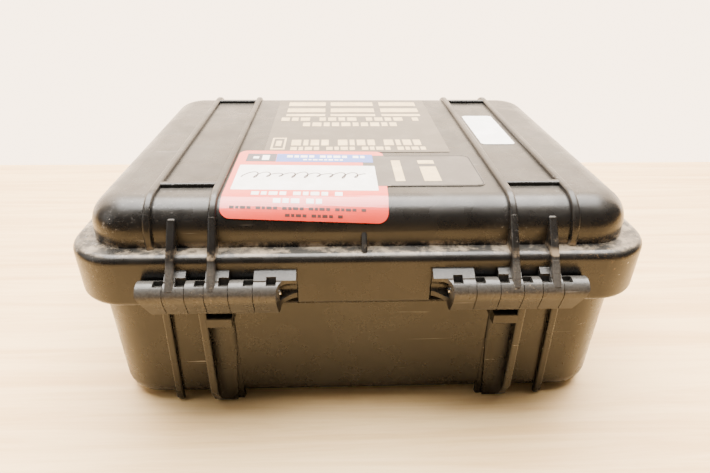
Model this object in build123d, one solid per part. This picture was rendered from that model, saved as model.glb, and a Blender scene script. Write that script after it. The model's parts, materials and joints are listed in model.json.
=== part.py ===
"""Hard protective carry case for a hand-held force gauge, closed, in millimetres.

Frame: +X is width, +Y is the hinge side, -Y is the latch and handle side, +Z is up.
The origin is the middle of the footprint, on the surface that the feet stand on.
"""
from build123d import *
import math
import os

os.makedirs("parts", exist_ok=True)

# ---------------------------------------------------------------- driving dimensions
RIM_HALF_WIDTH = 169.5      # outside of the rim, which is the widest part
RIM_HALF_DEPTH = 129.0
RIM_CORNER = 32.0
RIM_BOTTOM = 85.0           # lower edge of the base rim
PARTING = 100.0             # where lid and base meet
RIM_TOP = 118.0             # shoulder of the lid rim
RIM_ROUNDING = 4.0

BASE_HALF_WIDTH = 161.5
BASE_HALF_DEPTH = 117.5
BASE_CORNER = 29.0
BASE_FLOOR = 2.4            # underside of the floor, held up by the feet
BASE_EDGE = 10.0            # rounding between floor and walls

LID_HALF_WIDTH = 158.5
LID_HALF_DEPTH = 118.0
LID_CORNER = 26.0
LID_TOP = 142.7
LID_EDGE = 18.0             # rounding between top and walls

WALL = 3.5
RIB_WIDTH = 4.6
RIB_HEIGHT = 2.8
RIB_INNER_X = 84.0          # the two long ribs of each ladder on the lid
RIB_OUTER_X = 119.6
RIB_CROSS_Y = (88.5, -93.4)

TONGUE_INSET = 5.6          # centre line of the sealing tongue, in from the rim's outside
TONGUE_WIDTH = 2.4
TONGUE_HEIGHT = 2.4
GROOVE_WIDTH = 5.0
GROOVE_DEPTH = 5.2

HINGE_Y = 134.8
HINGE_Z = 99.0
BARREL_R = 7.2
BARREL_DROP = 11.4          # the flat facet's lower edge, below the pin
TOE_SWING_R = 12.05         # the furthest a lid knuckle reaches from its pin
PIN_R = 1.6
PIN_FIT = 0.06              # running clearance round a pin, on the radius
RELIEF = 0.6                # room left round a knuckle in the other half

# knuckle ends along X on the +X hinge; the other hinge is its mirror image
BASE_KNUCKLES = [(110.2, 124.4), (87.8, 97.9), (61.5, 74.4)]
LID_KNUCKLES = [(98.3, 109.8), (74.8, 87.4), (38.0, 61.1)]
CORE_WIDTH = 5.5            # the small pocket moulded into each knuckle's inner end
HINGE_PIN_ENDS = (46.6, 120.6)

LATCH_X = 101.8             # middle of a latch, between the two ladder ribs
LATCH_HALF_WIDTH = 14.6
LATCH_PIVOT = (-135.0, 112.0)
LEVER_PIVOT = (-140.0, 102.6)

HANDLE_PIVOT = (-137.0, 89.0)
HANDLE_HALF_WIDTH = 61.0
HANDLE_EAR_X = HANDLE_HALF_WIDTH + 3.9
HANDLE_BAR_Z = 47.0
HANDLE_BAR_R = 6.0
GRIP_R = 9.0
GRIP_HALF_LENGTH = 42.0

VALVE_Z = 68.0
VALVE_FACE = -BASE_HALF_DEPTH - 2.6   # face of the boss that the purge valve sits on
VALVE_INNER_END = -BASE_HALF_DEPTH + 12.0
PADLOCK_X = 140.0
PADLOCK_Y = -136.2
SHACKLE_R = 3.6             # hole for a padlock shackle
INSERT_R = 5.0

EAR_GAP = 17.3              # from the middle of a latch to the lug at either side of it

FOAM_GAP = 0.6
PAD_TOP = BASE_FLOOR + WALL + 12.0
FOAM_LEVELS = {"lower": (PAD_TOP + 0.3, 43.9), "middle": (44.0, 59.9), "upper": (60.0, PARTING - 2)}
POCKET_CORNER = 3.0
GAUGE_POCKET = ((-58, 58), (-62, 34), 44)          # x, y, floor height
SHACKLE_POCKET = ((56, 128), (-32, 4), 44)         # the +X one, mirrored for the other side
STORE_POCKET = ((20, 120), (58, 92), 60)

CENTRE_SHIFT = 2.7          # brings the middle of the footprint to y = 0
SIDES = {"left": 1, "right": -1}


# ---------------------------------------------------------------- helpers
def block(x, y, z):
    """A box from three (low, high) pairs."""
    centre = [(pair[0] + pair[1]) / 2 for pair in (x, y, z)]
    return Pos(*centre) * Box(x[1] - x[0], y[1] - y[0], z[1] - z[0])


def rod_x(x0, x1, y, z, radius):
    """A cylinder along X."""
    return Pos((x0 + x1) / 2, y, z) * Rot(0, 90, 0) * Cylinder(radius, x1 - x0)


def rod_y(y0, y1, x, z, radius):
    """A cylinder along Y."""
    return Pos(x, (y0 + y1) / 2, z) * Rot(90, 0, 0) * Cylinder(radius, y1 - y0)


def rod_z(z0, z1, x, y, radius):
    """A cylinder along Z."""
    return Pos(x, y, (z0 + z1) / 2) * Cylinder(radius, z1 - z0)


def plate_x(points, x0, x1):
    """A plate of (y, z) outline, from x0 to x1."""
    outline = Plane.YZ.offset(x0) * make_face(Polyline(*points, close=True))
    return extrude(outline, amount=x1 - x0, dir=(1, 0, 0))


def slab(half_width, half_depth, corner, z0, z1, taper=0.0):
    """A block with rounded corners, its sides leaning in by taper degrees as it rises."""
    outline = RectangleRounded(2 * half_width, 2 * half_depth, corner)
    return extrude(Pos(0, 0, z0) * outline, amount=z1 - z0, taper=taper)


def ring(half_width, half_depth, corner, width, z0, z1):
    """A closed band, of the given width, centred on a rounded rectangle."""
    half = width / 2
    outside = slab(half_width + half, half_depth + half, corner + half, z0, z1)
    inside = slab(half_width - half, half_depth - half, corner - half, z0 - 1, z1 + 1)
    return outside - inside


def soften(solid, edges, radius):
    """Round the edges, as far as they take it."""
    for size in (radius, radius * 0.7, radius * 0.4):
        try:
            return fillet(edges, size)
        except Exception:
            continue
    return solid


def top_edges(solid):
    return solid.edges().group_by(Axis.Z)[-1]


def bottom_edges(solid):
    return solid.edges().group_by(Axis.Z)[0]


def both(solid):
    """The solid and its mirror image across the middle plane."""
    return solid + mirror(solid, Plane.YZ)


def rounded_plate_x(points, x0, x1, radius):
    """A plate of (y, z) outline with its long edges rounded."""
    plate = plate_x(points, x0, x1)
    rims = plate.edges().filter_by(Axis.X, reverse=True)
    return soften(plate, rims, radius)


def save(solid, name):
    centred = solid.moved(Location((0, CENTRE_SHIFT, 0)))
    centred.label = name
    export_step(centred, "parts/" + name + ".step")


# ---------------------------------------------------------------- hinge outlines
BASE_FACET = [(-BARREL_R, 0), (-BARREL_R, -6.4), (-5.8, -BARREL_DROP), (3.8, -BARREL_DROP),
              (6.4, -3.6), (6.9, -2.0)]
LID_FACET = [(6.9, -2.0), (6.4, -3.6), (3.8, -BARREL_DROP), (2.6, -BARREL_DROP), (0.5, -BARREL_R),
             (0, 0)]


def knuckle(x0, x1, facet):
    """A round barrel, with a flat facet given as (y, z) from the pin, between two places along X."""
    below = plate_x([(HINGE_Y + y, HINGE_Z + z) for y, z in facet], x0, x1)
    return below + rod_x(x0, x1, HINGE_Y, HINGE_Z, BARREL_R)


def core_out(x0):
    """The small moulded pocket on top of a knuckle, running out from x0."""
    return block((x0, x0 + CORE_WIDTH), (HINGE_Y - 1.8, HINGE_Y + 3.3), (HINGE_Z + 4, HINGE_Z + 9))


# ---------------------------------------------------------------- base
def base_body():
    tub = slab(BASE_HALF_WIDTH, BASE_HALF_DEPTH, BASE_CORNER, BASE_FLOOR, RIM_BOTTOM + 3, -0.6)
    tub = soften(tub, bottom_edges(tub), BASE_EDGE)
    rim = slab(RIM_HALF_WIDTH, RIM_HALF_DEPTH, RIM_CORNER, RIM_BOTTOM, PARTING)
    rim = soften(rim, bottom_edges(rim), RIM_ROUNDING)
    tongue = ring(RIM_HALF_WIDTH - TONGUE_INSET, RIM_HALF_DEPTH - TONGUE_INSET,
                  RIM_CORNER - TONGUE_INSET, TONGUE_WIDTH, PARTING - 1, PARTING + TONGUE_HEIGHT)
    return tub + rim + tongue


def base_cavity():
    hollow = slab(BASE_HALF_WIDTH - WALL, BASE_HALF_DEPTH - WALL, BASE_CORNER - WALL,
                  BASE_FLOOR + WALL, PARTING + 5, -0.6)
    return soften(hollow, bottom_edges(hollow), BASE_EDGE - WALL)


def lean(solid, x, z, angle):
    """The solid turned in the XZ plane about (x, z), its lower end going outwards."""
    return Pos(x, 0, z) * Rot(0, -angle, 0) * Pos(-x, 0, -z) * solid


def rear_ribs():
    """One slim rib, and one deep buttress with a scooped web and a stop shelf, under the +X hinge."""
    wall = BASE_HALF_DEPTH - 1.5
    top = RIM_BOTTOM + 3
    slim = rounded_plate_x([(wall, 1.0), (wall + 2.2, 0.6), (wall + 4.2, 4.0), (wall + 6.5, top),
                            (wall, top)], 114.4, 119.4, 2.0)
    tip = [(wall, 1.2), (wall + 3.6, 0.6), (wall + 8.6, 6.5), (wall + 14.2, 18)]
    deep = rounded_plate_x(tip + [(wall + 15.6, top), (wall, top)], 90.6, 95.6, 1.5)
    shelf_end = 91.8
    start = 77.4
    plateau_start = Line((start, wall), (start + 1.0, wall + 2.6))
    plateau = ThreePointArc(plateau_start @ 1, (start + 2.6, wall + 4.0), (start + 4.8, wall + 4.2))
    scoop = ThreePointArc(plateau @ 1, (87.8, wall + 5.2), (shelf_end, wall + 11.4))
    back = Polyline(scoop @ 1, (shelf_end + 1.4, wall + 11.4), (shelf_end + 1.4, wall), (start, wall))
    web = extrude(Pos(0, 0, 0.6) * make_face(Wire([plateau_start, plateau, scoop, *back.edges()])),
                  amount=73)
    web &= plate_x(tip + [(wall + 14.8, 78), (wall, 78)], 70, 100)
    narrowing = make_face(Polyline((70, 70), (start - 0.4, 70), (start + 5.0, 0), (70, 0), close=True))
    web -= extrude(Plane.XZ.offset(-wall - 2.2) * narrowing, amount=-20)
    shelf = block((77.0, shelf_end), (wall, wall + 15.0), (70.6, 78.0))
    shelf = soften(shelf, shelf.edges().filter_by(Axis.X).sort_by(Axis.Y)[-2:], 1.2)
    return lean(slim, 116.9, top, 2.2) + lean(deep, 93.1, top, 0.8) + web + shelf


def front_base_ribs():
    """Guard ribs either side of a latch, on the +X side."""
    wall = BASE_HALF_DEPTH - 1.5
    guard = [(-wall, 0.8), (-wall - 4.4, 0.0), (-wall - 9.0, 4.0), (-wall - 15.6, 60),
             (-wall - 20.0, 70), (-wall - 20.0, 90), (-wall, 90)]
    ribs = Part()
    for x in (LATCH_X - EAR_GAP, LATCH_X + EAR_GAP):
        ribs += rounded_plate_x(guard, x - 2.1, x + 2.1, 1.4)
    keeper = block((LATCH_X - 15, LATCH_X + 15), (-RIM_HALF_DEPTH, -RIM_HALF_DEPTH + 8),
                   (RIM_BOTTOM, RIM_BOTTOM + 8))
    return ribs + keeper


def feet():
    """Four low pads and two runners that the case stands on."""
    pads = Part()
    for x in (-126, 126):
        for y in (-86, 86):
            pad = slab(13, 7, 5, 0, BASE_FLOOR + 1, 8).moved(Location((x, y, 0)))
            pads += pad
    for x in (-60, 60):
        pads += slab(3.0, 70, 2.9, 0, BASE_FLOOR + 1, 8).moved(Location((x, 0, 0)))
    return pads


def handle_ear(x):
    """A lug that carries one end of the carry handle."""
    y, z = HANDLE_PIVOT
    ear = plate_x([(-RIM_HALF_DEPTH + 4, 98), (y - 2, 96), (y - 6.4, z + 2), (y - 6.4, z - 2),
                   (y - 3, z - 6.4), (y + 3, z - 6.4), (-BASE_HALF_DEPTH + 3, 74),
                   (-BASE_HALF_DEPTH + 3, 98)], x - 3.2, x + 3.2)
    return soften(ear, ear.edges().filter_by(Axis.X).sort_by(Axis.Y)[:4], 2.2)


def padlock_tab(z0, z1):
    """A reinforced tab on the front rim, with a seat for a steel insert."""
    tab = block((PADLOCK_X - 11, PADLOCK_X + 11), (PADLOCK_Y - 9, -RIM_HALF_DEPTH + 8), (z0, z1))
    tab = soften(tab, tab.edges().filter_by(Axis.Z).sort_by(Axis.Y)[:2], 7)
    return tab


def make_base_shell():
    shell = base_body() + feet()
    shell += both(rear_ribs()) + both(front_base_ribs()) + both(padlock_tab(90, PARTING - 0.4))
    shell += both(handle_ear(HANDLE_EAR_X))
    shell += rod_y(VALVE_FACE, -BASE_HALF_DEPTH + WALL, 0, VALVE_Z, 15)
    shell -= seal_ring(VALVE_FACE - 1, VALVE_FACE + 1.2, 8.4, 10.8)
    shell -= base_cavity()
    # knuckles, and room for the lid's knuckles between them
    rear = Part()
    for x0, x1 in BASE_KNUCKLES:
        rear += knuckle(x0, x1, BASE_FACET)
        rear += block((x0, x1), (RIM_HALF_DEPTH - 4, HINGE_Y - 1), (HINGE_Z - BARREL_DROP, PARTING - 1))
    slant = make_face(Polyline((126.7, 107), (134, 107), (134, 84), (116.7, 84), close=True))
    rear -= extrude(Plane.XZ.offset(-RIM_HALF_DEPTH) * slant, amount=-20)
    shell += both(rear)
    room = Part()
    for x0, x1 in LID_KNUCKLES:
        room += rod_x(x0 - 0.35, x1 + 0.35, HINGE_Y, HINGE_Z, BARREL_R + RELIEF)
        toe_path = rod_x(x0 - 0.35, x1 + 0.35, HINGE_Y, HINGE_Z, TOE_SWING_R + RELIEF)
        room += toe_path - block((0, 140), (100, 160), (HINGE_Z - 0.6, 130))
    shell -= both(room)
    for x0, x1 in BASE_KNUCKLES:
        shell -= both(core_out(x0 - 0.2))
    # pin holes
    for x0, x1 in BASE_KNUCKLES[1:]:
        shell -= both(rod_x(x0 - 2, x1 + 2, HINGE_Y, HINGE_Z, PIN_R + PIN_FIT))
    shell -= both(rod_x(108, HINGE_PIN_ENDS[1] + 0.4, HINGE_Y, HINGE_Z, PIN_R + PIN_FIT))
    shell -= both(rod_x(HANDLE_EAR_X - 6, HANDLE_EAR_X + 6, *HANDLE_PIVOT, 2.0))
    shell -= both(rod_z(88, PARTING + 1, PADLOCK_X, PADLOCK_Y, INSERT_R))
    shell -= rod_y(-BASE_HALF_DEPTH - 8, -BASE_HALF_DEPTH + 8, 0, VALVE_Z, 7.0)
    return shell


def base_sections():
    """The base moulding as a floor and four walls, which meet at flat faces."""
    shell = make_base_shell()
    reach = 2 * RIM_HALF_WIDTH
    floor_top = BASE_FLOOR + BASE_EDGE
    seam = BASE_HALF_WIDTH - BASE_CORNER
    above = (floor_top, RIM_TOP)
    return {
        "floor": shell & block((-reach, reach), (-reach, reach), (-1, floor_top)),
        "front": shell & block((-seam, seam), (-reach, 0), above),
        "rear": shell & block((-seam, seam), (0, reach), above),
        "left": shell & block((seam, reach), (-reach, reach), above),
        "right": shell & block((-reach, -seam), (-reach, reach), above),
    }


# ---------------------------------------------------------------- lid
def lid_outer(grow=0.0):
    """The lid's crown above the rim, grown outwards by the given amount."""
    crown = slab(LID_HALF_WIDTH + grow, LID_HALF_DEPTH + grow, LID_CORNER + grow,
                 RIM_TOP - 6, LID_TOP + grow, 1.5)
    return soften(crown, top_edges(crown), LID_EDGE + grow)


def ladder_rib(x):
    """A long rib that follows the crown from the front wall to the rear wall."""
    y1 = LID_HALF_DEPTH + 2.4
    z1 = LID_TOP + RIB_HEIGHT
    r = LID_EDGE + RIB_HEIGHT
    outline = Polyline((-y1, RIM_TOP - 2), (-y1 + 0.8, z1), (y1 - 0.8, z1), (y1, RIM_TOP - 2), close=True)
    face = make_face(outline)
    face = fillet(face.vertices().group_by(Axis.Y)[-1], r)
    placed = Plane.YZ.offset(x - RIB_WIDTH / 2) * face
    rib = extrude(placed, amount=RIB_WIDTH, dir=(1, 0, 0))
    return soften(rib, rib.edges().filter_by(Axis.X, reverse=True), 1.6)


def cross_rib(y):
    bar = block((RIB_INNER_X, RIB_OUTER_X), (y - RIB_WIDTH / 2, y + RIB_WIDTH / 2),
                (LID_TOP - 4, LID_TOP + RIB_HEIGHT - 0.3))
    return soften(bar, bar.edges().filter_by(Axis.X).sort_by(Axis.Z)[-2:], 1.6)


def rear_gussets():
    """Webs from the crown down to the lid knuckles of the +X hinge, and one in the middle."""
    outer = HINGE_Y + 5.6
    deep = [(LID_HALF_DEPTH - 4, 137), (LID_HALF_DEPTH - 1.4, 136.5), (outer, HINGE_Z + 5),
            (HINGE_Y + 1, HINGE_Z + 1), (RIM_HALF_DEPTH - 2, PARTING + 1), (LID_HALF_DEPTH - 3, 110)]
    slim = [(LID_HALF_DEPTH - 3, 135), (LID_HALF_DEPTH - 1.2, 135), (outer, HINGE_Z + 5),
            (HINGE_Y + 1, HINGE_Z + 1), (RIM_HALF_DEPTH - 2, PARTING + 1), (LID_HALF_DEPTH - 3, 110)]
    half = RIB_WIDTH / 2
    webs = rounded_plate_x(deep, RIB_INNER_X - half, RIB_INNER_X + half, 1.6)
    webs += rounded_plate_x(slim, 106.3 - half, 106.3 + half, 1.6)
    return webs


def middle_gusset():
    points = [(LID_HALF_DEPTH - 3, 127), (LID_HALF_DEPTH - 0.6, 127), (RIM_HALF_DEPTH - 1.0, RIM_TOP - 3),
              (LID_HALF_DEPTH - 3, RIM_TOP - 4)]
    return rounded_plate_x(points, -1.6, 1.6, 1.1)


def latch_ears():
    """Lugs on the lid's front rim that carry a latch pin, on the +X side."""
    y, z = LATCH_PIVOT
    outline = [(-LID_HALF_DEPTH + 4, 128), (-LID_HALF_DEPTH - 2, 128), (y - 5.0, z + 5.2),
               (y - 6.6, z + 1.5), (y - 6.6, z - 3), (y - 3.5, z - 6.0), (-RIM_HALF_DEPTH + 2, PARTING + 2),
               (-LID_HALF_DEPTH + 4, PARTING + 8)]
    ears = Part()
    for x in (LATCH_X - EAR_GAP, LATCH_X + EAR_GAP):
        ears += rounded_plate_x(outline, x - 2.2, x + 2.2, 1.2)
    return ears


def lid_knuckles():
    """The +X hinge's lid knuckles with the plates that tie them to the rim."""
    hinge = Part()
    tie = [(RIM_HALF_DEPTH - 3, PARTING + 0.5), (RIM_HALF_DEPTH - 3, 111.0), (RIM_HALF_DEPTH + 1, 109.9),
           (HINGE_Y + 0.2, 106.8), (HINGE_Y + 0.8, HINGE_Z + 3), (HINGE_Y, PARTING + 0.5)]
    for x0, x1 in LID_KNUCKLES:
        hinge += knuckle(x0, x1, LID_FACET)
        hinge += plate_x(tie, x0, x1)
    # the inner knuckle's end is cut to an arc, which leaves a wing plate, and is hollow
    inner_end = LID_KNUCKLES[-1][0]
    hinge -= rod_z(HINGE_Z - 14, HINGE_Z + 7.5, inner_end - 1, HINGE_Y + 8.5, 12)
    hinge -= rod_x(inner_end - 2, HINGE_PIN_ENDS[0] + 0.8, HINGE_Y, HINGE_Z, 4.6)
    return hinge


def make_lid_shell():
    rim = slab(RIM_HALF_WIDTH, RIM_HALF_DEPTH, RIM_CORNER, PARTING, RIM_TOP)
    rim = soften(rim, top_edges(rim), 5.0)
    shell = lid_outer() + rim
    for sign in (1, -1):
        for x in (RIB_INNER_X, RIB_OUTER_X):
            shell += ladder_rib(sign * x)
    for y in RIB_CROSS_Y:
        shell += both(cross_rib(y))
    shell += both(rear_gussets()) + middle_gusset() + both(latch_ears())
    shell += both(padlock_tab(PARTING + 0.4, 110))
    shell += both(lid_knuckles())
    # inside
    hollow = slab(LID_HALF_WIDTH - WALL, LID_HALF_DEPTH - WALL, LID_CORNER - WALL,
                  PARTING - 1, LID_TOP - WALL, 1.5)
    hollow = soften(hollow, top_edges(hollow), LID_EDGE - WALL)
    shell -= hollow
    shell -= ring(RIM_HALF_WIDTH - TONGUE_INSET, RIM_HALF_DEPTH - TONGUE_INSET,
                  RIM_CORNER - TONGUE_INSET, GROOVE_WIDTH, PARTING - 1, PARTING + GROOVE_DEPTH)
    # room for the base's knuckles, and pin holes
    room = Part()
    for x0, x1 in BASE_KNUCKLES:
        room += rod_x(x0 - 0.35, x1 + 0.35, HINGE_Y, HINGE_Z, BARREL_R + RELIEF)
    shell -= both(room)
    for x0, x1 in LID_KNUCKLES:
        shell -= both(rod_x(x0 - 2, x1 + 2, HINGE_Y, HINGE_Z, PIN_R + PIN_FIT))
    for x0 in (LID_KNUCKLES[0][0] - 0.2, LID_KNUCKLES[1][0] - 0.2, 48.8):
        shell -= both(core_out(x0))
    for sign in (1, -1):
        shell -= rod_x(sign * LATCH_X - 20.5, sign * LATCH_X + 20.5, *LATCH_PIVOT, 2.0)
    shell -= both(rod_z(PARTING - 1, 112, PADLOCK_X, PADLOCK_Y, INSERT_R))
    return shell


def make_gasket():
    """The sealing cord in the bottom of the lid's groove."""
    band = ring(RIM_HALF_WIDTH - TONGUE_INSET, RIM_HALF_DEPTH - TONGUE_INSET,
                RIM_CORNER - TONGUE_INSET, GROOVE_WIDTH - 0.4,
                PARTING + TONGUE_HEIGHT + 0.5, PARTING + GROOVE_DEPTH)
    return band


# ---------------------------------------------------------------- latches
def make_latch_link(x):
    """The inner link: a knuckle on the lid's pin, a boss for the lever, and a hooked toe."""
    y, z = LATCH_PIVOT
    by, bz = LEVER_PIVOT
    face = -RIM_HALF_DEPTH
    half = LATCH_HALF_WIDTH
    link = rod_x(x - half, x + half, y, z, 4.4)
    strap = [(y + 1.2, z), (y - 3.6, z), (face - 6.4, z - 8), (face - 6.4, 79.6), (face - 4.6, 78.6),
             (face - 1.4, 79.2), (face - 0.45, 80.6), (face - 0.45, 84.0), (face - 2.8, 84.0),
             (face - 2.8, z - 6)]
    link += plate_x(strap, x - half + 0.4, x + half - 0.4)
    cheek = [(face - 5, bz + 2.6), (by - 2.8, bz + 2.6), (by - 3.4, bz), (by - 2.8, bz - 2.6),
             (face - 5, bz - 8)]
    link += plate_x(cheek, x - 7.6, x + 7.6)
    link -= rod_x(x - 20, x + 20, y, z, 2.0 + PIN_FIT)
    link -= rod_x(x - 20, x + 20, by, bz, 1.5 + PIN_FIT)
    link -= block((x - 5.0, x + 5.0), (face - 9, face - 2), (86.5, 93.5))
    return link


def make_latch_lever(x):
    """The outer lever: a curved cover with a finger lip, hung on the link."""
    by, bz = LEVER_PIVOT
    half = LATCH_HALF_WIDTH
    skin = [(by - 2.0, bz + 4.4), (by - 4.6, bz + 3.0), (by - 6.0, bz - 2), (by - 6.6, bz - 12),
            (by - 6.0, 82), (by - 7.4, 77.6), (by - 6.6, 75.4), (by - 4.6, 76.0), (by - 3.0, 80.5),
            (by - 3.4, bz - 12), (by - 3.9, bz - 4), (by - 3.9, bz + 0.5), (by - 1.0, bz + 3.9)]
    lever = plate_x(skin, x - half, x + half)
    cheek = [(by - 2.0, bz + 4.2), (by - 5.0, bz + 2.0), (by - 5.4, bz - 14), (by - 4.5, 81.5),
             (by + 1.6, 84), (by + 3.4, bz - 3), (by + 3.2, bz + 1.8), (by + 1.6, bz + 3.6)]
    for x0, x1 in ((x - half, x - half + 3.0), (x + half - 3.0, x + half)):
        lever += plate_x(cheek, x0, x1)
    for x0, x1 in ((x - half, x - 8.0), (x + 8.0, x + half)):
        lever += rod_x(x0, x1, by, bz, 3.6)
    lever -= rod_x(x - 20, x + 20, by, bz, 1.5 + PIN_FIT)
    for z in (84.5, 88.0, 91.5):
        lever -= block((x - 9, x + 9), (by - 8, by - 5.7), (z - 0.8, z + 0.8))
    lever -= block((x - 7.9, x + 7.9), (by - 3.95, by + 8), (bz - 4.4, bz + 6))
    return lever


# ---------------------------------------------------------------- handle
def make_handle_frame():
    """A U of moulded plastic: two eyes, two arms and the bar inside the grip."""
    y, z = HANDLE_PIVOT
    half = HANDLE_HALF_WIDTH
    arm_w = 5.6
    frame = rod_x(-half + 2, half - 2, y, HANDLE_BAR_Z, HANDLE_BAR_R)
    for sign in (1, -1):
        outer = sign * half
        inner = sign * (half - arm_w)
        x0, x1 = min(outer, inner), max(outer, inner)
        arm = plate_x([(y - 5.0, z - 1), (y - 5.6, HANDLE_BAR_Z - 1), (y - 3.4, HANDLE_BAR_Z - 6.6),
                       (y + 3.4, HANDLE_BAR_Z - 6.6), (y + 5.6, HANDLE_BAR_Z - 1), (y + 5.0, z - 1)],
                      x0, x1)
        arm += rod_x(x0, x1, y, z, 5.4)
        frame += arm
        gusset_in = sign * (half - 16)
        web = extrude(Plane.XZ.offset(-y - 3.4) * make_face(Polyline(
            (inner, HANDLE_BAR_Z + 14), (inner, HANDLE_BAR_Z), (gusset_in, HANDLE_BAR_Z),
            (gusset_in, HANDLE_BAR_Z + 4), close=True)), amount=6.8, dir=(0, 1, 0))
        frame += web
    for sign in (1, -1):
        frame -= rod_x(sign * half - 8, sign * half + 8, y, z, 2.0 + PIN_FIT)
    return frame


def make_handle_grip():
    """A soft sleeve over the bar, with finger swells."""
    y = HANDLE_PIVOT[0]
    sleeve = rod_x(-GRIP_HALF_LENGTH, GRIP_HALF_LENGTH, y, HANDLE_BAR_Z, GRIP_R)
    sleeve = soften(sleeve, sleeve.edges(), 2.2)
    return sleeve - rod_x(-60, 60, y, HANDLE_BAR_Z, HANDLE_BAR_R)


# ---------------------------------------------------------------- purge valve
def seal_ring(y0, y1, inner, outer):
    """A square-section ring about the valve's axis."""
    return rod_y(y0, y1, 0, VALVE_Z, outer) - rod_y(y0 - 1, y1 + 1, 0, VALVE_Z, inner)


def make_valve_body():
    body = rod_y(VALVE_FACE - 2.4, VALVE_FACE, 0, VALVE_Z, 12.6)
    body += rod_y(VALVE_FACE - 1, VALVE_INNER_END, 0, VALVE_Z, 6.8)
    body -= rod_y(VALVE_FACE - 6, VALVE_FACE + 7, 0, VALVE_Z, 4.6)
    body -= rod_y(VALVE_FACE - 6, 0, 0, VALVE_Z, 2.0)
    body -= rod_y(VALVE_INNER_END - 1.4, VALVE_INNER_END + 1, 0, VALVE_Z, 5.2)
    return body


def make_valve_knob():
    knob = rod_y(VALVE_FACE - 8.2, VALVE_FACE - 2.9, 0, VALVE_Z, 9.4)
    knob = soften(knob, knob.edges(), 0.9)
    knob += rod_y(VALVE_FACE - 4, VALVE_FACE + 4.5, 0, VALVE_Z, 4.54)
    for angle in range(0, 360, 30):
        flute = Rot(0, angle, 0) * rod_y(-9, -2.5, 10.4, 0, 1.7)
        knob -= Pos(0, VALVE_FACE, VALVE_Z) * flute
    knob -= block((-7.0, 7.0), (VALVE_FACE - 9, VALVE_FACE - 7.2), (VALVE_Z - 1.1, VALVE_Z + 1.1))
    return knob


def make_valve_nut():
    """A hexagonal nut on the valve's stem, inside the wall."""
    inside = -BASE_HALF_DEPTH + WALL
    nut = extrude(Plane.XZ.offset(-inside - 0.3) * RegularPolygon(11.5, 6), amount=4.0, dir=(0, 1, 0))
    return Pos(0, 0, VALVE_Z) * nut - rod_y(inside - 1, inside + 8, 0, VALVE_Z, 6.8)


# ---------------------------------------------------------------- foam
def pocket(x, y, floor):
    """A rounded pocket open upwards."""
    hole = RectangleRounded(x[1] - x[0], y[1] - y[0], POCKET_CORNER)
    centre = ((x[0] + x[1]) / 2, (y[0] + y[1]) / 2, floor)
    return extrude(Pos(*centre) * hole, amount=LID_TOP - floor)


def make_base_pad():
    pad = slab(BASE_HALF_WIDTH - WALL - FOAM_GAP, BASE_HALF_DEPTH - WALL - FOAM_GAP,
               BASE_CORNER - WALL, BASE_FLOOR + WALL + 0.3, PAD_TOP, -0.6)
    return soften(pad, bottom_edges(pad), BASE_EDGE - WALL)


def make_base_layer(level):
    """One of three layers of firm foam, cut out for the gauge, its two shackles and two stores."""
    z0, z1 = FOAM_LEVELS[level]
    lift = (z0 - PAD_TOP) * math.tan(math.radians(0.6)) + 0.1
    foam = slab(BASE_HALF_WIDTH - WALL - FOAM_GAP + lift, BASE_HALF_DEPTH - WALL - FOAM_GAP + lift,
                BASE_CORNER - WALL, z0, z1, -0.6)
    if level == "lower":
        return foam
    foam -= pocket(*GAUGE_POCKET)
    foam -= both(pocket(*SHACKLE_POCKET))
    if level == "upper":
        foam -= both(pocket(*STORE_POCKET))
    foam -= rod_y(-BASE_HALF_DEPTH, VALVE_INNER_END + 1.5, 0, VALVE_Z, 13)
    return foam


def make_lid_foam():
    """The simple outer shape of the egg-crate foam that fills the lid."""
    foam = slab(LID_HALF_WIDTH - WALL - FOAM_GAP, LID_HALF_DEPTH - WALL - FOAM_GAP,
                LID_CORNER - WALL, PARTING - 1.4, LID_TOP - WALL - 0.4, 1.5)
    return soften(foam, top_edges(foam), LID_EDGE - WALL)


# ---------------------------------------------------------------- labels
def film(half_x, half_y, centre, thickness, corner):
    """A flat label on the crown's top face."""
    outline = RectangleRounded(2 * half_x, 2 * half_y, corner)
    return extrude(Pos(centre[0], centre[1], LID_TOP) * outline, amount=thickness)


def make_nameplate():
    return film(64.0, 67.0, (0.6, -33.5), 0.3, 1.0)


def make_capacity_plate():
    return film(36.0, 25.0, (-38.0, 66.0), 0.5, 5.0)


def make_white_sticker():
    return film(12.2, 34.5, (-101.6, -16.5), 0.3, 3.0)


def make_asset_tag():
    """A thin tag that lies on the crown and bends down over its rear edge."""
    sheet = lid_outer(1.1) - lid_outer(0.6)
    patch = block((-15.6, 81.2), (29.5, LID_HALF_DEPTH + 5), (133.0, LID_TOP + 5))
    return sheet & patch


# ---------------------------------------------------------------- small metal pieces
def make_hinge_pin(sign):
    ends = sorted(sign * x for x in HINGE_PIN_ENDS)
    return rod_x(ends[0], ends[1], HINGE_Y, HINGE_Z, PIN_R)


def make_insert(sign, z0, z1, lip_at_top):
    """A flanged steel eyelet pressed into a padlock tab."""
    x = sign * PADLOCK_X
    sleeve = rod_z(z0, z1, x, PADLOCK_Y, INSERT_R)
    lip = rod_z(z1, z1 + 0.9, x, PADLOCK_Y, INSERT_R + 1.6)
    if not lip_at_top:
        lip = rod_z(z0 - 0.9, z0, x, PADLOCK_Y, INSERT_R + 1.6)
    return sleeve + lip - rod_z(z0 - 3, z1 + 3, x, PADLOCK_Y, SHACKLE_R)


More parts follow.
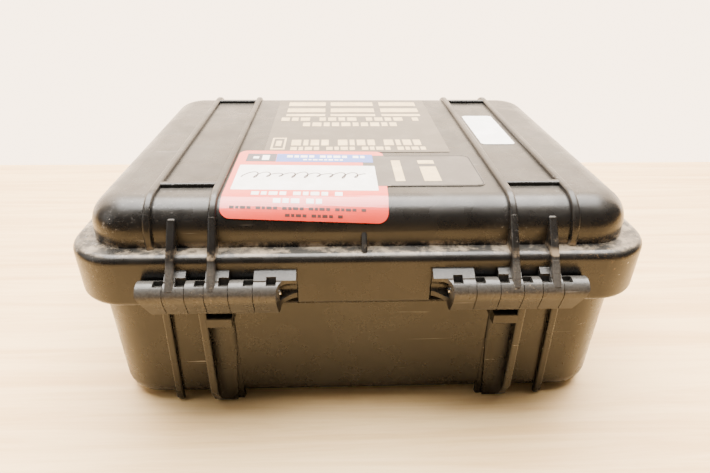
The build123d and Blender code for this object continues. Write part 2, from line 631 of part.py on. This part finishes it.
for section, solid in base_sections().items():
    save(solid, "base_shell_" + section)
save(make_lid_shell(), "lid_shell")
save(make_gasket(), "lid_gasket")
save(make_base_pad(), "base_foam_pad")
for level in FOAM_LEVELS:
    save(make_base_layer(level), "base_foam_" + level)
save(make_lid_foam(), "lid_foam")
save(make_nameplate(), "nameplate_film")
save(make_capacity_plate(), "capacity_plate")
save(make_white_sticker(), "white_sticker")
save(make_asset_tag(), "asset_tag")
save(make_handle_frame(), "handle_frame")
save(make_handle_grip(), "handle_grip")
save(make_valve_body(), "valve_body")
save(make_valve_knob(), "valve_knob")
save(make_valve_nut(), "valve_nut")
save(seal_ring(VALVE_FACE + 0.02, VALVE_FACE + 1.18, 8.5, 10.7), "valve_o_ring")
save(rod_y(VALVE_INNER_END - 1.3, VALVE_INNER_END - 0.6, 0, VALVE_Z, 5.1), "valve_membrane")

for side, sign in SIDES.items():
    save(make_hinge_pin(sign), "hinge_pin_" + side)
    save(make_latch_link(sign * LATCH_X), "latch_link_" + side)
    save(make_latch_lever(sign * LATCH_X), "latch_lever_" + side)
    save(rod_x(sign * LATCH_X - 19.4, sign * LATCH_X + 19.4, *LATCH_PIVOT, 2.0), "latch_pin_" + side)
    save(rod_x(sign * LATCH_X - 14.4, sign * LATCH_X + 14.4, *LEVER_PIVOT, 1.5), "lever_pin_" + side)
    ends = sorted((sign * (HANDLE_EAR_X + 3.2), sign * (HANDLE_HALF_WIDTH - 5.0)))
    save(rod_x(ends[0], ends[1], *HANDLE_PIVOT, 2.0), "handle_pin_" + side)
    save(make_insert(sign, 90, PARTING - 0.4, False), "base_eyelet_" + side)
    save(make_insert(sign, PARTING + 0.4, 110, True), "lid_eyelet_" + side)
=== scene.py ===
"""A closed hard carry case, seen from its hinge side on a pale wooden bench."""
import json
import math
import bmesh
import bpy
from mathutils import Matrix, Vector, noise


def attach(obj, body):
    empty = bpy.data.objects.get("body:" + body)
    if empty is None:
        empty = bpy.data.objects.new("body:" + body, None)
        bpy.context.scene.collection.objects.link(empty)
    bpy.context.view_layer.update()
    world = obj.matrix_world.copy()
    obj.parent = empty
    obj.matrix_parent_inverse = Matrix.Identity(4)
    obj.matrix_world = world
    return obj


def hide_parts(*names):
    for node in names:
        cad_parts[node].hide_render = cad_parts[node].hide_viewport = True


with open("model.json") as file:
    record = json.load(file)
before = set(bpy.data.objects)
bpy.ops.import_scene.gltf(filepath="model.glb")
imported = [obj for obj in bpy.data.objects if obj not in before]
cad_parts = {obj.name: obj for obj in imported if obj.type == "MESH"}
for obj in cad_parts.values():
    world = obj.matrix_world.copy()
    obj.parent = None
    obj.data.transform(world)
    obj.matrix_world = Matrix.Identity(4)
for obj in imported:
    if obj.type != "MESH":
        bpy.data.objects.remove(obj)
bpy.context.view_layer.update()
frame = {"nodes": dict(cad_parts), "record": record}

MM = 0.001
SHIFT = 2.7                    # the frame's y, in mm, is the case's own y plus this
CROWN_TOP = 142.7              # the lid's crown: its top, the rounding at its rear edge
CROWN_R = 18.0
CROWN_CENTRE_Y = 99.66
CROWN_CENTRE_Z = 124.7
FOOT_Z = 0.118                 # where the crown meets the rim's shoulder, metres

HINGE_FRONT = 0.1345           # the hinge barrels lie behind this y, and above this z
HINGE_FOOT = 0.097

CAMERA_PLACE = (0.01559, 0.37342, 0.26800)
CAMERA_TURN = (60.419, -0.548, 177.951)     # degrees
LENS = 26.27
SENSOR = 36.0

BENCH_EDGE = -0.305            # far edge of the bench
BENCH_SIZE = 8.0
WALL_Y = -1.3
WALL_SIZE = 7.0

GRIP_Y = -137.0                # the handle's soft sleeve at rest, in the case's own mm
GRIP_Z = 47.0
GRIP_R = 8.6
RING_COUNT = 13
RING_PITCH = 6.0
RING_TURNS = 40

LABEL_LIFT = 0.3               # how far each label's face stands above the crown, mm
PLATE_LIFT = 0.5
TAG_LIFT = 0.46
PRINT_PROUD = 0.07             # a print's top above its label, and how far it reaches into it
PRINT_SUNK = 0.03

EGG_PITCH = 0.026              # the lid foam's waves, metres
EGG_DEPTH = 0.0075
EGG_REACH = 0.024
FOAM_SKIN = 0.0007


def make_camera():
    data = bpy.data.cameras.new("camera")
    data.lens = LENS
    data.sensor_width = SENSOR
    data.clip_start = 0.01
    cam = bpy.data.objects.new("camera", data)
    cam.location = CAMERA_PLACE
    cam.rotation_euler = [math.radians(angle) for angle in CAMERA_TURN]
    bpy.context.collection.objects.link(cam)
    bpy.context.scene.camera = cam


# ------------------------------------------------------------------ material helpers
class Graph:
    """One material and short ways to add nodes to it."""

    def __init__(self, name):
        self.mat = bpy.data.materials.new(name)
        self.mat.use_nodes = True
        self.tree = self.mat.node_tree
        self.shader = self.tree.nodes["Principled BSDF"]
        self.coord = self.tree.nodes.new("ShaderNodeTexCoord")
        self.place = self.coord.outputs["Object"]

    def link(self, source, socket):
        self.tree.links.new(source, socket)

    def set(self, socket, value):
        self.shader.inputs[socket].default_value = value

    def put(self, source, socket):
        self.link(source, self.shader.inputs[socket])

    def noise(self, scale, detail, rough, stretch=None, distortion=0.0):
        """Noise over the object. stretch is (scale, turn) of a mapping in front of it."""
        node = self.tree.nodes.new("ShaderNodeTexNoise")
        node.inputs["Scale"].default_value = scale
        node.inputs["Detail"].default_value = detail
        node.inputs["Roughness"].default_value = rough
        node.inputs["Distortion"].default_value = distortion
        if stretch is None:
            self.link(self.place, node.inputs["Vector"])
        else:
            mapping = self.tree.nodes.new("ShaderNodeMapping")
            mapping.inputs["Rotation"].default_value = stretch[1]
            mapping.inputs["Scale"].default_value = stretch[0]
            self.link(self.place, mapping.inputs["Vector"])
            self.link(mapping.outputs["Vector"], node.inputs["Vector"])
        return node.outputs["Fac"]

    def ramp(self, source, low, high, to_low=0.0, to_high=1.0):
        """A smooth step of source, from to_low at low to to_high at high."""
        node = self.tree.nodes.new("ShaderNodeMapRange")
        node.interpolation_type = "SMOOTHSTEP"
        limits = {"From Min": low, "From Max": high, "To Min": to_low, "To Max": to_high}
        for key, value in limits.items():
            node.inputs[key].default_value = value
        self.link(source, node.inputs["Value"])
        return node.outputs["Result"]

    def math(self, kind, a, b):
        node = self.tree.nodes.new("ShaderNodeMath")
        node.operation = kind
        for socket, value in zip(node.inputs, (a, b)):
            if isinstance(value, (int, float)):
                socket.default_value = value
            else:
                self.link(value, socket)
        return node.outputs["Value"]

    def mix(self, factor, a, b):
        """Colour a where factor is 0 and b where it is 1. Either may be a colour or a socket."""
        node = self.tree.nodes.new("ShaderNodeMix")
        node.data_type = "RGBA"
        self.link(factor, node.inputs["Factor"])
        for socket, value in ((node.inputs[6], a), (node.inputs[7], b)):
            if isinstance(value, tuple):
                socket.default_value = (*value, 1)
            else:
                self.link(value, socket)
        return node.outputs[2]

    def axis(self, source, letter):
        node = self.tree.nodes.new("ShaderNodeSeparateXYZ")
        self.link(source, node.inputs[0])
        return node.outputs[letter]

    def near(self, centre, radius):
        """1 at the centre, 0 beyond the radius, in metres."""
        node = self.tree.nodes.new("ShaderNodeVectorMath")
        node.operation = "DISTANCE"
        self.link(self.place, node.inputs[0])
        node.inputs[1].default_value = centre
        return self.ramp(node.outputs["Value"], radius * 0.25, radius, 1.0, 0.0)

    def bump(self, height, strength, distance):
        node = self.tree.nodes.new("ShaderNodeBump")
        node.inputs["Strength"].default_value = strength
        node.inputs["Distance"].default_value = distance
        self.link(height, node.inputs["Height"])
        self.put(node.outputs["Normal"], "Normal")


BLACK = (0.006, 0.0054, 0.0048)
CHARCOAL = (0.012, 0.011, 0.010)
SETTLED = (0.20, 0.19, 0.17)
# the hinge barrels' colour: rubbed wear, made lighter still as a painted highlight
RUBBED_AND_PAINTED_HIGHLIGHT = (0.085, 0.080, 0.072)
DUST = (0.30, 0.24, 0.17)
CHALK = (0.55, 0.53, 0.50)

# local wear on the shells: centre and radius in metres, colour, how much, fineness of the specks
WEAR = [
    ((0.152, 0.105, 0.118), 0.035, CHALK, 0.55, 260),
    ((0.120, 0.098, 0.138), 0.030, CHALK, 0.45, 420),
    ((0.150, 0.085, 0.134), 0.014, CHALK, 0.75, 700),
    ((0.162, 0.120, 0.112), 0.030, CHALK, 0.50, 320),
    ((-0.135, 0.130, 0.112), 0.018, (0.55, 0.33, 0.14), 0.60, 330),
    ((-0.105, 0.133, 0.116), 0.026, DUST, 0.55, 300),
    ((-0.085, 0.118, 0.122), 0.020, CHALK, 0.40, 520),
    ((-0.122, 0.095, 0.140), 0.020, CHALK, 0.45, 500),
    ((0.086, 0.145, 0.104), 0.016, (0.50, 0.38, 0.24), 0.60, 420),
    ((-0.086, 0.145, 0.104), 0.016, (0.50, 0.38, 0.24), 0.60, 420),
    ((-0.155, 0.110, 0.090), 0.030, CHALK, 0.35, 380),
    ((0.075, 0.121, 0.060), 0.020, CHALK, 0.25, 600),
]


def shell_material(name="shell_plastic", wear_and_highlight=True):
    """Grained charcoal moulding. With its flag set, it has settled dust, thin scratches, local scuffs,
    and hinge barrels lightened partly by rubbing and partly as a painted highlight.
    """
    g = Graph(name)
    g.set("Specular IOR Level", 0.34)
    mottle = g.noise(14, 5, 0.6)
    color = g.mix(g.ramp(mottle, 0.35, 0.7), BLACK, CHARCOAL)
    specks = g.noise(750, 2, 0.7)
    if wear_and_highlight:
        # settled dust on everything that faces up
        up = g.ramp(g.axis(g.coord.outputs["Normal"], "Z"), 0.55, 0.98)
        film = g.math("MULTIPLY", up, g.ramp(g.noise(32, 6, 0.7), 0.3, 0.72, 0.08, 0.24))
        color = g.mix(film, color, SETTLED)
        # the hinge barrels, lightened partly by rubbing and partly as a painted highlight on their lit
        # tops
        y = g.axis(g.place, "Y")
        z = g.axis(g.place, "Z")
        hinge = g.math("MULTIPLY", g.ramp(y, HINGE_FRONT - 0.002, HINGE_FRONT + 0.002),
                       g.ramp(z, HINGE_FOOT - 0.003, HINGE_FOOT + 0.003))
        color = g.mix(g.math("MULTIPLY", hinge, g.ramp(specks, 0.3, 0.7, 0.35, 0.65)), color, RUBBED_AND_PAINTED_HIGHLIGHT)
        # dust in the corner where the crown rises from the rim
        foot = g.math("MULTIPLY", g.ramp(z, FOOT_Z - 0.0012, FOOT_Z, 0, 1),
                      g.ramp(z, FOOT_Z + 0.0008, FOOT_Z + 0.0042, 1, 0))
        foot = g.math("MULTIPLY", foot, g.ramp(g.noise(90, 5, 0.7), 0.42, 0.62, 0.0, 0.75))
        color = g.mix(foot, color, DUST)
        # thin scratches, in patches
        streaks = g.noise(1, 2, 0.5, ((14, 620, 620), (0.0, 0.35, 0.5)))
        patches = g.ramp(g.noise(22, 2, 0.5), 0.5, 0.62)
        lines = g.math("MULTIPLY", g.ramp(streaks, 0.70, 0.76, 0.0, 0.5), patches)
        color = g.mix(lines, color, CHALK)
        for centre, radius, tint, amount, grain in WEAR:
            rub = g.ramp(g.noise(grain, 8, 0.8), 0.55, 0.70, 0.0, amount * 0.8)
            color = g.mix(g.math("MULTIPLY", g.near(centre, radius), rub), color, tint)
    g.put(color, "Base Color")
    g.put(g.ramp(g.noise(60, 4, 0.6), 0.3, 0.7, 0.22, 0.36), "Roughness")
    g.bump(g.math("ADD", specks, g.noise(1700, 1, 0.5)), 0.16, 0.0002)
    return g.mat


def plain_plastic(name, color, roughness):
    g = Graph(name)
    g.set("Roughness", roughness)
    tint = tuple(c * 1.5 for c in color)
    g.put(g.mix(g.ramp(g.noise(120, 4, 0.6), 0.4, 0.75, 0, 0.6), color, tint), "Base Color")
    g.bump(g.noise(1200, 2, 0.6), 0.10, 0.0002)
    return g.mat


def steel_material(name):
    """Drawn steel, its gloss streaked along the rod."""
    g = Graph(name)
    g.set("Base Color", (0.58, 0.57, 0.55, 1))
    g.set("Metallic", 1.0)
    g.put(g.ramp(g.noise(1, 2, 0.5, ((80, 900, 900), (0, 0, 0))), 0.3, 0.7, 0.2, 0.42), "Roughness")
    return g.mat


def foam_material():
    g = Graph("foam")
    g.set("Roughness", 0.95)
    cells = g.noise(820, 3, 0.75)
    g.put(g.mix(g.ramp(cells, 0.35, 0.7), (0.020, 0.020, 0.022), (0.085, 0.085, 0.09)), "Base Color")
    g.set("Sheen Weight", 0.25)
    g.set("Sheen Roughness", 0.5)
    g.bump(cells, 0.55, 0.0007)
    return g.mat


def film_material(name, color, roughness, coat=0.0):
    """Printed film, a little paler where it is worn."""
    g = Graph(name)
    g.set("Roughness", roughness)
    worn = tuple(min(1.0, c * 1.35 + 0.01) for c in color)
    g.put(g.mix(g.ramp(g.noise(70, 5, 0.65), 0.42, 0.72, 0.0, 0.8), color, worn), "Base Color")
    g.set("Coat Weight", coat)
    g.set("Coat Roughness", 0.12)
    g.bump(g.noise(240, 2, 0.5), 0.05, 0.0002)
    return g.mat


def tag_material():
    """Laminated red card with uneven colour and a soft ripple."""
    g = Graph("tag")
    g.set("Roughness", 0.3)
    mottle = g.ramp(g.noise(60, 4, 0.6), 0.4, 0.7, 0.0, 0.35)
    g.put(g.mix(mottle, (0.74, 0.055, 0.035), (0.80, 0.11, 0.08)), "Base Color")
    g.set("Coat Weight", 0.7)
    g.set("Coat Roughness", 0.1)
    g.bump(g.noise(24, 2, 0.5), 0.35, 0.0012)
    return g.mat


# ------------------------------------------------------------------ mesh helpers
def add_mesh(name, verts, faces, material):
    """A flat-shaded object from points and faces, its faces turned outwards."""
    mesh = bpy.data.meshes.new(name)
    mesh.from_pydata(verts, [], faces)
    mesh.materials.append(material)
    work = bmesh.new()
    work.from_mesh(mesh)
    bmesh.ops.recalc_face_normals(work, faces=work.faces)
    work.to_mesh(mesh)
    work.free()
    mesh.update()
    obj = bpy.data.objects.new(name, mesh)
    bpy.context.collection.objects.link(obj)
    return obj


def slab_from_grid(rows, lower):
    """Points and faces of a thin closed sheet. rows and lower are equal grids, its top and underside."""
    count_j, count_i = len(rows), len(rows[0])
    verts = [p for row in rows for p in row] + [p for row in lower for p in row]
    half = count_j * count_i
    faces = []
    for j in range(count_j - 1):
        for i in range(count_i - 1):
            a = j * count_i + i
            quad = (a, a + 1, a + 1 + count_i, a + count_i)
            faces.append(quad)
            faces.append(tuple(half + k for k in reversed(quad)))
    rim = list(range(count_i))
    rim += [j * count_i + count_i - 1 for j in range(1, count_j)]
    rim += [(count_j - 1) * count_i + i for i in range(count_i - 2, -1, -1)]
    rim += [j * count_i for j in range(count_j - 2, 0, -1)]
    for a, b in zip(rim, rim[1:] + rim[:1]):
        faces.append((b, a, half + a, half + b))
    return verts, faces


def on_crown(x, s, lift):
    """A point on the lid's crown. x and s are in mm, and s runs rearwards over the top, then down."""
    if s <= CROWN_CENTRE_Y:
        y, z = s, CROWN_TOP + lift
    else:
        angle = (s - CROWN_CENTRE_Y) / (CROWN_R + 0.8)
        y = CROWN_CENTRE_Y + (CROWN_R + lift) * math.sin(angle)
        z = CROWN_CENTRE_Z + (CROWN_R + lift) * math.cos(angle)
    return (x * MM, (y + SHIFT) * MM, z * MM)


def crown_patch(corners, radius, lift, thick, steps=(24, 30)):
    """A thin sheet on the crown with rounded corners, from its four corners in turn, each an (x, s)."""
    (ax, a_s), (bx, b_s), (cx, c_s), (dx, d_s) = corners
    across = math.hypot(bx - ax, b_s - a_s)
    along = math.hypot(dx - ax, d_s - a_s)
    radius = min(radius, across * 0.49, along * 0.49)
    cuts = [0.0]
    if radius > 0:
        cuts = [radius * (1 - math.cos(math.radians(15 * k))) for k in range(7)]
    middle = [radius + (along - 2 * radius) * k / steps[1] for k in range(1, steps[1])]
    runs = cuts + middle + [along - c for c in reversed(cuts)]
    top, under = [], []
    for run in runs:
        edge = min(run, along - run)
        inset = 0.0
        if edge < radius:
            inset = radius - math.sqrt(max(0.0, radius ** 2 - (radius - edge) ** 2))
        v = run / along
        row_top, row_under = [], []
        for i in range(steps[0] + 1):
            u = (inset + (across - 2 * inset) * i / steps[0]) / across
            x = (ax * (1 - u) + bx * u) * (1 - v) + (dx * (1 - u) + cx * u) * v
            s = (a_s * (1 - u) + b_s * u) * (1 - v) + (d_s * (1 - u) + c_s * u) * v
            row_top.append(on_crown(x, s, lift))
            row_under.append(on_crown(x, s, lift - thick))
        top.append(row_top)
        under.append(row_under)
    return slab_from_grid(top, under)


def join_parts(name, parts, material, body="lid"):
    """One object from several (verts, faces) parts, riding on a body."""
    verts, faces = [], []
    for part_verts, part_faces in parts:
        start = len(verts)
        verts += part_verts
        faces += [tuple(start + k for k in face) for face in part_faces]
    obj = add_mesh(name, verts, faces, material)
    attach(obj, body)
    return obj


def print_box(x0, x1, y0, y1, z):
    """A printed block on a flat label whose face is at z, in mm, standing slightly above it."""
    grids = []
    for height in (z + PRINT_PROUD, z - PRINT_SUNK):
        grids.append([[(x * MM, (y + SHIFT) * MM, height * MM) for x in (x1, x0)] for y in (y0, y1)])
    return slab_from_grid(*grids)


def dashes(x0, x1, widths, gap):
    """(x from, x to) of each dash in a row from x0 down to x1. A negative width leaves a space."""
    spans, x, k = [], x0, 0
    while x - widths[k % len(widths)] > x1:
        width = widths[k % len(widths)]
        if width > 0:
            spans.append((x - width, x))
        x -= abs(width) + gap
        k += 1
    return spans


# ------------------------------------------------------------------ labels
def make_label_prints(gold):
    """Plain gold bars on the nameplate and the capacity plate. All places are in the case's own mm."""
    z = CROWN_TOP + LABEL_LIFT
    parts = []
    # the headline: three groups of heavy bars
    for x0, x1 in ((24, 56), (-17.5, 19.5), (-55, -23)):
        for y0, y1 in ((-93, -81.5), (-73.5, -62.5), (-56.5, -51)):
            parts.append(print_box(x0, x1, y0, y1, z))
    # four rows of small blocks: y from, y to, x from, x to, widths, gap
    rows = [(-47.0, -38.0, 59, -55, (6.5, 5.2, 7.4, -4.0, 5.0), 1.9),
            (-33.4, -24.0, 41, -37, (5.5, 7.0, 4.6), 1.9),
            (8.0, 20.0, 47, -53, (6.8, 3.4, 6.0, 5.2, -3.2), 1.7),
            (23.0, 29.4, 47, -53, (4.4, 3.0, 5.0, 3.6, -2.4), 1.3)]
    for y0, y1, x0, x1, widths, gap in rows:
        for a, b in dashes(x0, x1, widths, gap):
            parts.append(print_box(a, b, y0, y1, z))
    # an open square with a bar in it
    square = ((51, 61, 3.5, 5.5), (51, 61, 25.5, 28), (51, 52.4, 5.5, 25.5),
              (59.6, 61, 5.5, 25.5), (54, 58, 10, 21))
    for x0, x1, y0, y1 in square:
        parts.append(print_box(x0, x1, y0, y1, z))
    join_parts("nameplate_print", parts, gold)
    z = CROWN_TOP + PLATE_LIFT
    parts = [print_box(-26.4, -20.6, 50, 84, z), print_box(-48.5, -38, 50, 56, z),
             print_box(-48.5, -38, 61, 84, z)]
    join_parts("capacity_print", parts, gold)


def make_capacity_outline(dark):
    """The dark line round the capacity plate: three straight runs and two round corners."""
    z = CROWN_TOP + PLATE_LIFT
    parts = []
    for x0, x1, y0, y1 in ((-70, -17, 41.4, 42.2), (-70, -17, 89.8, 90.6), (-73.6, -72.8, 46, 86)):
        parts.append(print_box(x0, x1, y0, y1, z))
    for x, y, start in ((-69.0, 46.0, 90), (-69.0, 86.0, 180)):
        top, low = [], []
        for r in (3.8, 4.6):
            ring_top, ring_low = [], []
            for k in range(9):
                t = math.radians(start + 90 * k / 8)
                px, py = x + r * math.cos(t), y - r * math.sin(t)
                ring_top.append((px * MM, (py + SHIFT) * MM, (z + PRINT_PROUD) * MM))
                ring_low.append((px * MM, (py + SHIFT) * MM, (z - PRINT_SUNK) * MM))
            top.append(ring_top)
            low.append(ring_low)
        parts.append(slab_from_grid(top, low))
    join_parts("capacity_outline", parts, dark)


# the tag's corners on the crown, as on_crown takes them
TAG = ((80.4, 30.0), (-16.6, 33.6), (-13.4, 122.0), (80.2, 118.0))


def tag_box(x0, x1, s0, s1, lift, radius=0.0, steps=(10, 8)):
    """A printed patch on the tag, turned with it."""
    tilt = (TAG[1][1] - TAG[0][1]) / (TAG[0][0] - TAG[1][0])
    corners = []
    for x, s in ((x1, s0), (x0, s0), (x0, s1), (x1, s1)):
        corners.append((x, s + (TAG[0][0] - x) * tilt))
    return crown_patch(corners, radius, lift, 0.06, steps)


def make_tag(red, white, blue, navy, ink):
    """The red card with its writing field, its coloured band and plain rows of bars."""
    card = join_parts("asset_tag_card", [crown_patch(TAG, 6.0, TAG_LIFT, 0.34, (36, 44))], red)
    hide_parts("asset_tag")
    up = TAG_LIFT + 0.05
    whites = [tag_box(-9.2, 76.8, 56.2, 94.2, up, 0.6, (20, 16))]
    for a, b in dashes(64, 8, (4.4, 3.2, 5.0, 3.8, -1.5), 1.2):
        whites.append(tag_box(a, b, 96.6, 101.0, up))
    for a, b in dashes(51, 18, (4.2, 3.4, 4.8, -1.5), 1.2):
        whites.append(tag_box(a, b, 104.0, 107.6, up))
    join_parts("tag_white", whites, white)
    join_parts("tag_band", [tag_box(-8.8, 54.8, 36.0, 50.2, up)], blue)
    join_parts("tag_block", [tag_box(55.0, 74.4, 36.0, 50.0, up)], navy)
    marks = [tag_box(59.5, 64.2, 38.6, 47.4, up + 0.06), tag_box(66.4, 70.2, 41.0, 45.0, up + 0.06)]
    for a, b in dashes(48, -4, (3.8, 3.0, 4.6, 3.4, -1.6), 1.1):
        marks.append(tag_box(a, b, 38.4, 42.6, up + 0.06))
    for a, b in dashes(37, 8, (2.6, 2.0, 3.0), 0.9):
        marks.append(tag_box(a, b, 45.2, 47.4, up + 0.06))
    join_parts("tag_band_marks", marks, white)
    darks = []
    for a, b in dashes(75, -3, (2.6, 1.8, 2.9, 2.2, -1.2), 0.8):
        darks.append(tag_box(a, b, 110.2, 112.0, up))
    for a, b in dashes(44, 10, (2.6, 1.8, 2.9, 2.2, -1.2), 0.8):
        darks.append(tag_box(a, b, 114.4, 116.1, up))
    join_parts("tag_small_bars", darks, ink)
    make_scribble(ink, up + 0.06)


def make_scribble(ink, lift):
    """A looping pen line in the writing field."""
    count = 230
    loops = 9.5
    half_width = 0.42
    line = []
    for k in range(count + 1):
        t = k / count
        phase = t * loops * 2 * math.pi
        x = 71.5 - 73 * t + 2.6 * math.sin(phase + 0.6)
        s = 72.5 + 4.6 * math.cos(phase) * (0.75 + 0.25 * math.sin(5.3 * t * math.pi)) + 2.6 * t
        line.append(Vector((x, s)))
    top, low = [[], []], [[], []]
    for k, point in enumerate(line):
        ahead = line[min(k + 1, count)] - line[max(k - 1, 0)]
        side = Vector((-ahead.y, ahead.x)).normalized() * half_width
        for row, sign in ((0, 1), (1, -1)):
            x, s = point + side * sign
            top[row].append(on_crown(x, s, lift))
            low[row].append(on_crown(x, s, lift - 0.05))
    join_parts("tag_scribble", [slab_from_grid(top, low)], ink)


# ------------------------------------------------------------------ foam
def foam_copy(name, node, voxel):
    """The CAD solid as an even mesh, its sharp edges relaxed as cut foam's are."""
    source = frame["nodes"][node]
    obj = bpy.data.objects.new(name, source.data.copy())
    bpy.context.collection.objects.link(obj)
    obj.matrix_world = source.matrix_world.copy()
    remesh = obj.modifiers.new("even", "REMESH")
    remesh.mode = "VOXEL"
    remesh.voxel_size = voxel
    relax = obj.modifiers.new("relax", "SMOOTH")
    relax.iterations = 3
    relax.factor = 0.5
    depsgraph = bpy.context.evaluated_depsgraph_get()
    mesh = bpy.data.meshes.new_from_object(obj.evaluated_get(depsgraph))
    obj.modifiers.clear()
    obj.data = mesh
    return obj


def roughen(obj, depth):
    """Moves every point inwards by a little noise, as open-cell foam's skin is uneven."""
    mesh = obj.data
    moved = []
    for vert in mesh.vertices:
        wave = noise.noise(vert.co * 300) * 0.6 + noise.noise(vert.co * 90) * 0.4
        moved.append(vert.co - vert.normal * depth * (0.5 + 0.5 * wave))
    for vert, place in zip(mesh.vertices, moved):
        vert.co = place


def make_egg_crate(obj):
    """Waves on the underside of the lid's foam, fading out above it."""
    low = min(vert.co.z for vert in obj.data.vertices)
    turn = 2 * math.pi / EGG_PITCH
    for vert in obj.data.vertices:
        hold = max(0.0, 1 - (vert.co.z - low) / EGG_REACH)
        wave = math.cos(vert.co.x * turn) * math.cos(vert.co.y * turn)
        vert.co.z += hold * EGG_DEPTH * (1 + wave)


def make_foam(material):
    """Stands a rougher copy in for each foam solid: name, CAD node, voxel in metres, body."""
    pieces = (("foam_upper", "base_foam_upper", 0.0026, "case_base"),
              ("foam_middle", "base_foam_middle", 0.0026, "case_base"),
              ("foam_lower", "base_foam_lower", 0.004, "case_base"),
              ("foam_pad", "base_foam_pad", 0.004, "case_base"),
              ("foam_egg_crate", "lid_foam", 0.003, "lid"))
    for name, node, voxel, body in pieces:
        obj = foam_copy(name, node, voxel)
        if body == "lid":
            make_egg_crate(obj)
        roughen(obj, FOAM_SKIN)
        obj.data.materials.clear()
        obj.data.materials.append(material)
        for face in obj.data.polygons:
            face.use_smooth = True
        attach(obj, body)
        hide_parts(node)


# ------------------------------------------------------------------ handle grip
def make_grip_ribs(material):
    """Raised rings along the soft sleeve of the handle."""
    half, height = 0.9, 1.0
    profile = [(-half, GRIP_R), (-half * 0.55, GRIP_R + height),
               (half * 0.55, GRIP_R + height), (half, GRIP_R)]
    size = len(profile)
    parts = []
    for k in range(RING_COUNT):
        x = RING_PITCH * (k - (RING_COUNT - 1) / 2)
        verts, faces = [], []
        for t in range(RING_TURNS):
            angle = 2 * math.pi * t / RING_TURNS
            for dx, r in profile:
                y = GRIP_Y + SHIFT + r * math.cos(angle)
                z = GRIP_Z + r * math.sin(angle)
                verts.append(((x + dx) * MM, y * MM, z * MM))
        for t in range(RING_TURNS):
            n = (t + 1) % RING_TURNS
            for i in range(size):
                j = (i + 1) % size
                faces.append((t * size + i, n * size + i, n * size + j, t * size + j))
        parts.append((verts, faces))
    join_parts("grip_rings", parts, material, "carry_handle")


# ------------------------------------------------------------------ bench, wall and lights
def wood_material():
    """Pale wood with its grain along the bench."""
    g = Graph("bench_wood")
    g.set("Roughness", 0.5)
    grain = g.noise(1, 7, 0.7, ((3.0, 60, 3.0), (0, 0, 0)), 0.5)
    g.put(g.mix(g.ramp(grain, 0.35, 0.68), (0.88, 0.62, 0.31), (0.72, 0.45, 0.19)), "Base Color")
    return g.mat


def glow_material(name, color, strength):
    mat = bpy.data.materials.new(name)
    mat.use_nodes = True
    tree = mat.node_tree
    tree.nodes.clear()
    out = tree.nodes.new("ShaderNodeOutputMaterial")
    glow = tree.nodes.new("ShaderNodeEmission")
    glow.inputs["Color"].default_value = (*color, 1)
    glow.inputs["Strength"].default_value = strength
    tree.links.new(glow.outputs[0], out.inputs["Surface"])
    return mat


def area_light(name, place, aim, size, power, color):
    data = bpy.data.lights.new(name, "AREA")
    data.shape = "RECTANGLE"
    data.size, data.size_y = size
    data.energy = power
    data.color = color
    obj = bpy.data.objects.new(name, data)
    obj.location = place
    obj.rotation_euler = (Vector(aim) - Vector(place)).to_track_quat("-Z", "Y").to_euler()
    bpy.context.collection.objects.link(obj)


def make_surroundings():
    """The bench, the bright wall behind it, and the lights."""
    world = bpy.data.worlds.new("world")
    bpy.context.scene.world = world
    world.use_nodes = True
    background = world.node_tree.nodes["Background"]
    background.inputs[0].default_value = (1.0, 0.93, 0.84, 1)
    background.inputs[1].default_value = 0.16
    bpy.ops.mesh.primitive_plane_add(size=BENCH_SIZE, location=(0, BENCH_SIZE / 2 + BENCH_EDGE, 0))
    floor = bpy.context.object
    floor.name = "bench"
    floor.data.materials.append(wood_material())
    bpy.ops.mesh.primitive_plane_add(size=WALL_SIZE, location=(0, WALL_Y, 1.0),
                                     rotation=(math.radians(-90), 0, 0))
    wall = bpy.context.object
    wall.name = "pale_wall"
    wall.data.materials.append(glow_material("pale_wall", (1.0, 0.77, 0.56), 6.8))
    area_light("overhead", place=(0, -0.35, 1.8), aim=(0, -0.1, 0), size=(2.4, 1.5),
               power=290, color=(1.0, 0.97, 0.93))
    area_light("left_window", place=(1.7, 0.5, 0.9), aim=(0, 0, 0.08), size=(0.9, 0.9),
               power=8, color=(1.0, 0.95, 0.88))


# ------------------------------------------------------------------ the case
def dress(materials):
    """Gives every CAD node its slot's material."""
    slots = {row["node"]: row["material_slot"] for row in frame["record"]["subparts"]}
    for name, obj in frame["nodes"].items():
        material = materials[slots[name]]
        obj.data.materials.clear()
        obj.data.materials.append(material)


make_camera()
make_surroundings()
gold = film_material("gold_print", (0.62, 0.47, 0.25), 0.45)
materials = {
    "shell_plastic": shell_material(),
    "latch_plastic": shell_material("latch_plastic", False),
    "handle_plastic": shell_material("handle_plastic", False),
    "grip_rubber": plain_plastic("grip_rubber", (0.022, 0.022, 0.023), 0.7),
    "pin_steel": steel_material("pin_steel"),
    "eyelet_steel": steel_material("eyelet_steel"),
    "seal_rubber": plain_plastic("seal_rubber", (0.03, 0.03, 0.031), 0.6),
    "valve_plastic": plain_plastic("valve_plastic", (0.035, 0.034, 0.033), 0.42),
    "membrane": plain_plastic("membrane", (0.6, 0.6, 0.58), 0.9),
    "foam": foam_material(),
    "nameplate": film_material("nameplate", (0.085, 0.070, 0.052), 0.34),
    "capacity": film_material("capacity", (0.075, 0.066, 0.055), 0.4),
    "tag": tag_material(),
    "sticker": film_material("sticker", (0.82, 0.82, 0.80), 0.55),
}
dress(materials)
make_label_prints(gold)
make_capacity_outline(film_material("dark_line", CHARCOAL, 0.6))
make_tag(materials["tag"], film_material("tag_white", (0.80, 0.79, 0.77), 0.4, 0.5),
         film_material("tag_blue", (0.05, 0.13, 0.48), 0.4, 0.5),
         film_material("tag_navy", (0.015, 0.02, 0.045), 0.4, 0.5),
         film_material("ink", (0.045, 0.022, 0.018), 0.5))
make_foam(materials["foam"])
make_grip_ribs(materials["grip_rubber"])
